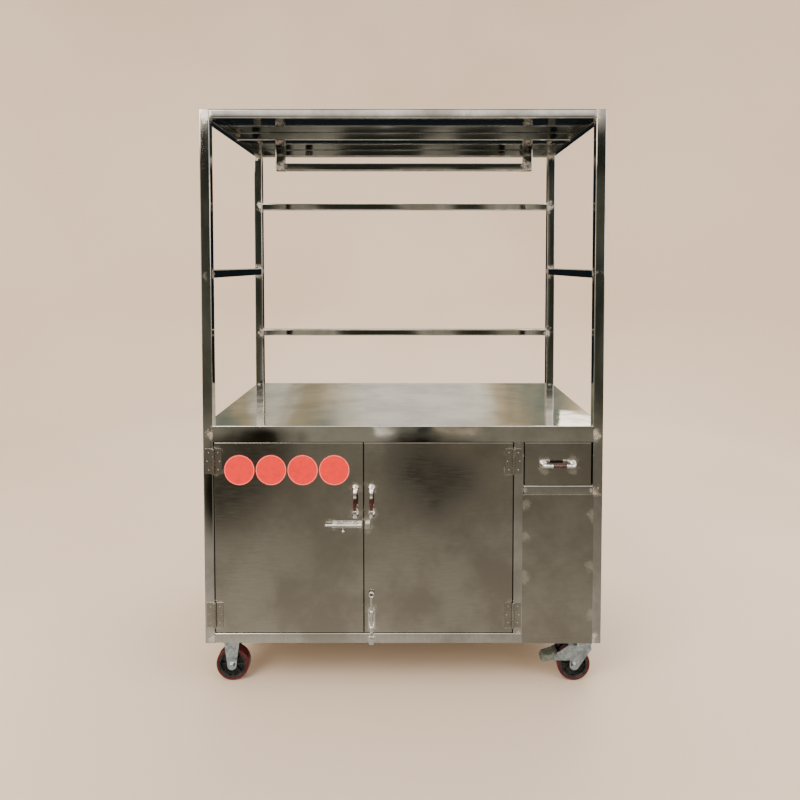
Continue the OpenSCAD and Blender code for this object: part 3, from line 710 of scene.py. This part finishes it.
def build_handle(node, body, chrome, enamel):
    """A cast bow handle: round feet, flared necks and a dark red grip between two collars."""
    low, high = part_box(node)
    size = high - low
    lengthwise = Vector((1, 0, 0)) if size.x > size.z else Vector((0, 0, 1))
    middle = (low + high) / 2
    middle.y = high.y
    out = OUT_FRONT
    long = max(size.x, size.z)
    reach = size.y
    foot = long / 2 - FOOT * MM
    bar = reach - BAR * MM
    bend = 11 * MM
    chrome_bm, grip_bm = bmesh.new(), bmesh.new()
    for side in (-1, 1):
        along = lengthwise * side
        turn = Z_AXIS.rotation_difference(out).to_matrix().to_4x4()
        flange = [
            (0, 0), (10.6, 0), (FOOT, 0.5), (FOOT, 1.8), (10.2, 2.6), (7.8, 3.0), (6.6, 3.6), (6.6, 4.8),
            (0, 4.8),
        ]
        turned(chrome_bm, flange, Matrix.Translation(middle + along * foot) @ turn, 32)
        path, radii = [], []
        for depth, radius in HANDLE_NECK:
            path.append(middle + along * foot + out * depth * MM)
            radii.append(radius)
        for i in range(1, 9):
            angle = math.radians(90 * i / 8)
            centre = middle + along * (foot - bend) + out * (bar - bend)
            path.append(centre + along * bend * math.cos(angle) + out * bend * math.sin(angle))
            radii.append(9.0 - 3.8 * math.sin(angle))
        grip = long * 0.19
        for back, radius in HANDLE_COLLAR:
            path.append(middle + along * (grip + back * MM) + out * bar)
            radii.append(radius)
        swept(chrome_bm, path, radii, 20)
    path, radii = [], []
    for i in range(17):
        share = -1 + i / 8
        path.append(middle + lengthwise * (grip + 0.5 * MM) * share + out * bar)
        radii.append(4.9 + 0.95 * math.cos(share * math.pi / 2))
    swept(grip_bm, path, radii, 20)
    piece(node + "_cast_bow", chrome_bm, body, chrome, [node], sharp=60)
    piece(node + "_grip", grip_bm, body, enamel, (), sharp=60)


# ---- hinges and bolts ----

pin_xs = sorted({round((low.x + high.x) / 2, 5) for low, high in solids("hinge_pins")})
HINGE_NODES = (
    ("hinge_frame_leaves", "frame"), ("left_hinge_leaves", "left_door"), ("right_hinge_leaves", "right_door"),
)
BOLT_NODES = (
    ("cross_bolt_body", "left_door"), ("lower_bolt_body", "right_door"), ("cross_bolt_keeper", "right_door"),
    ("lower_bolt_keeper", "frame"),
)


def build_hinges_and_bolts():
    """The hinge leaves with three screws each, the two bolts with four, their keepers and rods."""
    hinge = brushed_hinge_steel()
    bolt = polished_bolt_steel()
    for node, body in HINGE_NODES:
        bm = cad_mesh(node)
        bevel_edges(bm, sharp_edges(bm, 60), 0.35, 2)
        for low, high in solids(node):
            hinge_x = min(pin_xs, key=lambda x: abs((low.x + high.x) / 2 - x))
            outward = 1 if (low.x + high.x) / 2 > hinge_x else -1
            flat_x = hinge_x + outward * 15.5 * MM
            for share in (0.16, 0.5, 0.84):
                z = low.z + share * (high.z - low.z)
                shift = outward * (3 if share == 0.5 else -1.5) * MM
                at = Vector((flat_x + shift, high.y - 1.5 * MM, z))
                pan_head(bm, at, OUT_FRONT, 2.1, 1.1)
        piece(node + "_steel", bm, body, hinge, [node])
    for node, body in BOLT_NODES:
        low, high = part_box(node)
        bm = cad_mesh(node)
        bevel_edges(bm, sharp_edges(bm, 60), 0.3, 2)
        if "body" in node:
            run = 0 if high.x - low.x > high.z - low.z else 2
            across = 2 - run
            middle = (low + high) / 2
            for share in (0.3, 0.7):
                for side in (-1, 1):
                    at = middle.copy()
                    at[run] = low[run] + share * (high[run] - low[run])
                    at[across] = middle[across] + side * 7.2 * MM
                    at.y = high.y - 1.5 * MM
                    pan_head(bm, at, OUT_FRONT, 2.4, 1.1)
        piece(node + "_steel", bm, body, bolt, [node])
    for node, body in (("cross_bolt_rod", "cross_bolt"), ("lower_bolt_rod", "lower_bolt")):
        bm = cad_mesh(node)
        bevel_edges(bm, sharp_edges(bm, 70), 0.8, 3)
        piece(node + "_steel", bm, body, bolt, [node], sharp=50)


# ---- casters ----


def wheel_place(node):
    """The wheel's middle, with its axle along the shape's own Z."""
    low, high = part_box(node)
    return Matrix.Translation((low + high) / 2) @ Matrix.Rotation(math.radians(90), 4, "X")


TREAD_DEPTH = 8


def build_wheels():
    """Four wheels of a red tyre on a ribbed black core, and their pressed and turned metal parts."""
    nylon = moulded_black_nylon()
    rubber = red_polyurethane()
    zinc = bright_zinc()
    for name in ("front_left", "rear_left", "front_right", "rear_right"):
        body = name + "_roller"
        place = wheel_place(name + "_tread")
        low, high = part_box(name + "_tread")
        r = (high.z - low.z) / 2 / MM
        half = (high.y - low.y) / 2 / MM
        core_r = r - TREAD_DEPTH
        bm = bmesh.new()
        outline = [
            (core_r, -half + 1.0), (core_r + 1.2, -half), (r - 3.4, -half), (r - 1.4, -half + 1.2),
            (r - 0.35, -half + 3.8), (r, -half * 0.4), (r, half * 0.4), (r - 0.35, half - 3.8),
            (r - 1.4, half - 1.2), (r - 3.4, half), (core_r + 1.2, half), (core_r, half - 1.0),
        ]
        ring_turned(bm, outline, place, 96)
        piece(name + "_tyre", bm, body, rubber, [name + "_tread"], sharp=60)
        bm = bmesh.new()
        rim = half - 1
        rim_in = core_r - 6
        outline = [
            (7.06, -18), (12.6, -18), (13.6, -17.4), (14.2, -15), (15.4, -5.6), (17, -5),
            (rim_in - 2.4, -5), (rim_in - 0.8, -6), (rim_in, -rim + 1), (rim_in + 1, -rim),
            (core_r - 0.6, -rim), (core_r, -rim + 0.6), (core_r, rim - 0.6), (core_r - 0.6, rim),
            (rim_in + 1, rim), (rim_in, rim - 1), (rim_in - 0.8, 6), (rim_in - 2.4, 5),
            (17, 5), (15.4, 5.6), (14.2, 15), (13.6, 17.4), (12.6, 18), (7.06, 18),
        ]
        ring_turned(bm, outline, place, 72)
        for side in (-1, 1):
            for i in range(8):
                before = set(bm.verts)
                angle = math.tau * i / 8
                inner, outer = 13.2, rim_in + 0.8
                bmesh.ops.create_cube(bm, size=1.0)
                rib = [v for v in bm.verts if v not in before]
                bmesh.ops.scale(bm, vec=((outer - inner) * MM, 2.4 * MM, 7 * MM), verts=rib)
                edges = list({e for v in rib for e in v.link_edges})
                bevel_edges(bm, edges, 0.5, 2)
                out = Matrix.Translation(((inner + outer) / 2 * MM, 0, side * 8 * MM))
                new_part(bm, before, place @ Matrix.Rotation(angle, 4, "Z") @ out)
        piece(name + "_core", bm, body, nylon, [name + "_wheel"], sharp=40)
    for node, body in (
        ("rigid_brackets", "frame"), ("front_fork", "front_swivel"), ("rear_fork", "rear_swivel"),
    ):
        bm = cad_mesh(node)
        bevel_edges(bm, sharp_edges(bm, 50), 0.7, 2)
        piece(node + "_pressing", bm, body, zinc, [node])
    for node, body in (
        ("left_axles", "frame"), ("front_right_axle", "front_swivel"), ("rear_right_axle", "rear_swivel"),
        ("swivel_plates", "frame"), ("kingpins", "frame"),
    ):
        bm = cad_mesh(node)
        bevel_edges(bm, sharp_edges(bm, 55), 0.6, 2)
        piece(node + "_zinc", bm, body, zinc, [node])
    pedal = dusty_grey_pedal_paint()
    for side in ("front", "rear"):
        node = side + "_brake_pedal"
        bm = cad_mesh(node)
        bevel_edges(bm, sharp_edges(bm, 55), 0.6, 2)
        piece(node + "_lever", bm, side + "_pedal", pedal, [node])


# ---- round decals ----

DECAL_RADIUS = 46
DECAL_STEP = 95
DECAL_SIDE_GAP = 30
DECAL_DROP = 83


def build_decals():
    """Four plain red vinyl discs with a thin pale ring, in a row on the left door."""
    low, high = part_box("left_door")
    red = cut_vinyl("red_cut_vinyl", "#f4262a", "#e62226")
    pale = cut_vinyl("pale_pink_cut_vinyl", "#f6b3ac", "#ee9f98")
    bm = bmesh.new()
    for i in range(4):
        before = set(bm.verts)
        bmesh.ops.create_circle(bm, cap_ends=True, segments=72, radius=DECAL_RADIUS * MM)
        face = [f for f in bm.faces if all(v not in before for v in f.verts)]
        made = bmesh.ops.extrude_face_region(bm, geom=face)["geom"]
        raised = [g for g in made if isinstance(g, bmesh.types.BMVert)]
        bmesh.ops.translate(bm, vec=(0, 0, 0.25 * MM), verts=raised)
        top = [g for g in made if isinstance(g, bmesh.types.BMFace)]
        bmesh.ops.inset_region(bm, faces=top, thickness=1.6 * MM, use_even_offset=True)
        ring = bmesh.ops.inset_region(bm, faces=top, thickness=1.3 * MM, use_even_offset=True)["faces"]
        for f in ring:
            f.material_index = 1
        across = DECAL_SIDE_GAP + DECAL_RADIUS + DECAL_STEP * i
        at = Vector((low.x + across * MM, low.y - 0.05 * MM, high.z - DECAL_DROP * MM))
        turn = Z_AXIS.rotation_difference(OUT_FRONT).to_matrix().to_4x4()
        new_part(bm, before, Matrix.Translation(at) @ turn)
    piece("door_round_decals", bm, "left_door", [red, pale])


# ---- carried-over sheets ----


def dress_cad_nodes():
    """The plain sheets keep their CAD shape and get their finish."""
    satin = satin_sheet("panel_satin_sheet")
    finishes = {
        "roof_sheet": mirror_roof_sheet(), "cabinet_floor": satin, "side_panels": satin, "rear_panel": satin,
        "drawer_runners": satin, "drawer_box": satin, "hinge_pins": brushed_hinge_steel(),
    }
    for node, material in finishes.items():
        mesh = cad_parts[node].data
        mesh.materials.clear()
        mesh.materials.append(material)


# ---- studio ----

FLOOR_RADIUS = 3600
COVE_RADIUS = 900
WALL_TOP = 5200
# (name, place in metres, width and height, watts, colour)
LAMPS = (
    ("key_lamp", (-2.3, -2.5, 3.1), (2.0, 2.0), 115, "#fff1e2"),
    ("fill_lamp", (2.7, -1.7, 2.2), (1.6, 2.2), 34, "#e9f0ff"),
    ("top_lamp", (0.3, 0.6, 3.9), (2.6, 2.2), 70, "#fff8f0"),
    ("back_lamp", (2.3, 2.9, 2.6), (2.4, 1.6), 45, "#fff0df"),
)
LAMP_AIM = Vector((0, 0, 0.8))


def build_studio():
    """A round cove with a pale floor, and soft lamps."""
    bm = bmesh.new()
    cove = [(0, 0), (FLOOR_RADIUS, 0)]
    for i in range(1, 9):
        angle = math.radians(90 * i / 8)
        out, up = COVE_RADIUS * math.sin(angle), COVE_RADIUS * (1 - math.cos(angle))
        cove.append((FLOOR_RADIUS + out, up))
    cove.append((FLOOR_RADIUS + COVE_RADIUS, WALL_TOP))
    faces = turned(bm, cove, Matrix.Identity(4), 96)
    floor = min(faces, key=lambda f: f.calc_center_median().length)
    if floor.normal.z < 0:
        bmesh.ops.reverse_faces(bm, faces=bm.faces)
    mesh = bpy.data.meshes.new("studio_cove")
    bm.to_mesh(mesh)
    bm.free()
    mesh.shade_smooth()
    mesh.materials.append(studio_paint())
    stage = bpy.data.objects.new("studio_cove", mesh)
    bpy.context.scene.collection.objects.link(stage)
    stage.visible_glossy = False
    for name, at, size, power, colour in LAMPS:
        lamp = bpy.data.lights.new(name, "AREA")
        lamp.shape = "RECTANGLE"
        lamp.size, lamp.size_y = size
        lamp.energy = power
        lamp.color = linear(colour)[:3]
        made = bpy.data.objects.new(name, lamp)
        made.location = at
        made.rotation_euler = (LAMP_AIM - Vector(at)).to_track_quat("-Z", "Y").to_euler()
        made.visible_camera = False
        bpy.context.scene.collection.objects.link(made)


# The apron mirrors three upright bands: (middle across, half their width, colour).
APRON_BANDS = ((-0.045, 0.017, "#fff8ec"), (0.02, 0.016, "#39423f"), (0.08, 0.036, "#b9aa96"))
# The doors mirror a few dark shapes that stand on the ground: (direction, radius, softness of the edge).
DARK_SHAPES = (
    ((-0.29, -0.89, -0.35), 0.06, 0.035),
    ((-0.24, -0.92, -0.30), 0.05, 0.03),
    ((0.01, -0.94, -0.33), 0.045, 0.03),
    ((0.08, -0.93, -0.345), 0.03, 0.02),
    ((0.04, -0.92, -0.385), 0.025, 0.02),
)


def build_surround():
    """What the steel mirrors: lit ground, a dark horizon and a bright sky in front, pale drapes behind."""
    world = bpy.data.worlds.new("studio_surround")
    bpy.context.scene.world = world
    world.use_nodes = True
    tree = world.node_tree
    tree.nodes.clear()
    toward = add(tree, "TexCoord", out="Generated")
    x, y, z = [add(tree, "SeparateXYZ", [toward], out=k) for k in range(3)]
    aside = add(tree, "Math", [x], operation="ABSOLUTE")
    blotch = add(tree, "TexNoise", {"Vector": toward, "Scale": 3.2, "Detail": 4.0, "Roughness": 0.6})
    upright = add(tree, "Mapping", {"Vector": toward, "Scale": (6.0, 6.0, 0.9)})
    drapes = add(tree, "TexNoise", {"Vector": upright, "Scale": 1.0, "Detail": 3.0, "Distortion": 0.7})
    level = add(tree, "Mapping", {"Vector": toward, "Scale": (7.0, 2.0, 1.0)})
    blocks = add(tree, "TexNoise", {"Vector": level, "Scale": 1.0, "Detail": 1.0})

    ground = laid_over(tree, "#e0d6c6", "#948e80", z, -0.62, -0.3)
    ground = laid_over(tree, ground, "#5f6053", blotch, 0.5, 0.7, 0.0, 0.3)
    ground = laid_over(tree, ground, "#37342c", x, -0.1, 0.1, 0.06, 0.24)
    side_dark = laid_over(tree, "#33372f", "#5d5d51", blotch, 0.4, 0.6)
    horizon = laid_over(tree, "#34372e", "#a8a292", blocks, 0.45, 0.53)
    horizon = laid_over(tree, horizon, side_dark, aside, 0.2, 0.27)
    horizon = laid_over(tree, horizon, "#2a2e27", z, 0.12, 0.17)
    sky = laid_over(tree, "#fff9f2", "#b9b6ae", blocks, 0.46, 0.6)
    front = laid_over(tree, ground, horizon, z, -0.29, -0.2)
    front = laid_over(tree, front, sky, z, 0.205, 0.25)
    apron_foot = add(tree, "MapRange", [z, -0.3, -0.292], **SMOOTH)
    apron_top = add(tree, "MapRange", [z, -0.245, -0.262], **SMOOTH)
    apron = add(tree, "Math", [apron_foot, apron_top], operation="MULTIPLY")
    for middle, half, shade in APRON_BANDS:
        off = add(tree, "Math", [x, middle], operation="SUBTRACT")
        off = add(tree, "Math", [off], operation="ABSOLUTE")
        band = add(tree, "MapRange", [off, half * 1.35, half * 0.65], **SMOOTH)
        band = add(tree, "Math", [band, apron], operation="MULTIPLY")
        front = add(tree, "Mix", {0: band, 6: front, 7: shade}, **COLOURS)
    for middle, radius, soft in DARK_SHAPES:
        far = add(tree, "VectorMath", [toward, middle], out="Value", operation="DISTANCE")
        front = laid_over(tree, front, "#1c1913", far, radius + soft, radius - soft)

    low_back = laid_over(tree, "#cfc6b8", "#1a2023", z, -0.58, -0.26)
    high_back = laid_over(tree, "#7f877b", "#cdb894", drapes, 0.38, 0.5)
    high_back = laid_over(tree, high_back, "#fff4e0", drapes, 0.5, 0.6)
    high_back = laid_over(tree, high_back, "#5f6a60", x, -0.1, -0.2, 0.0, 0.35)
    far = add(tree, "VectorMath", [toward, (0.0, 0.97, 0.235)], out="Value", operation="DISTANCE")
    high_back = laid_over(tree, high_back, "#fff8ea", far, 0.17, 0.05)
    back = laid_over(tree, low_back, high_back, z, 0.15, 0.19)
    colour = laid_over(tree, front, back, y, -0.2, 0.2)

    # Side windows, the roof light and the open sky shine more: (strength, limits that bound the place).
    bright_places = (
        (1.5, (aside, 0.74, 0.9), (drapes, 0.42, 0.5), (z, -0.25, 0.05)),
        (0.9, (z, 0.5, 0.8)),
        (0.75, (z, 0.21, 0.27), (y, -0.1, -0.4)),
    )
    lit = 0.0
    for strength, *limits in bright_places:
        glow = strength
        for limit in limits:
            inside = add(tree, "MapRange", list(limit), **SMOOTH)
            glow = add(tree, "Math", [glow, inside], operation="MULTIPLY")
        lit = add(tree, "Math", [lit, glow])
    steady = add(tree, "Background", {"Color": colour, "Strength": 1.05})
    bright = add(tree, "Background", {"Color": "#fff6ea", "Strength": lit})
    add(tree, "OutputWorld", [add(tree, "AddShader", [steady, bright])])


def build_camera():
    """A front view from above the worktop, tilted a little down, with the whole cart in it."""
    lens = bpy.data.cameras.new("camera")
    lens.sensor_width = 36
    lens.lens = 26.0
    lens.shift_x = -0.0125
    lens.shift_y = -0.144
    camera = bpy.data.objects.new("camera", lens)
    camera.location = (0.021, -2.015, 1.293)
    camera.rotation_euler = (math.radians(88), 0, 0)
    bpy.context.scene.collection.objects.link(camera)
    bpy.context.scene.camera = camera


build_camera()
build_studio()
build_surround()
build_tubes()
build_weld_beads()
build_worktop()
build_fronts()
build_panel_spot_welds()
chrome, enamel = bright_chrome(), burgundy_enamel()
for body in ("left_door", "right_door", "drawer"):
    build_handle(body + "_handle", body, chrome, enamel)
build_hinges_and_bolts()
build_wheels()
build_decals()
dress_cad_nodes()
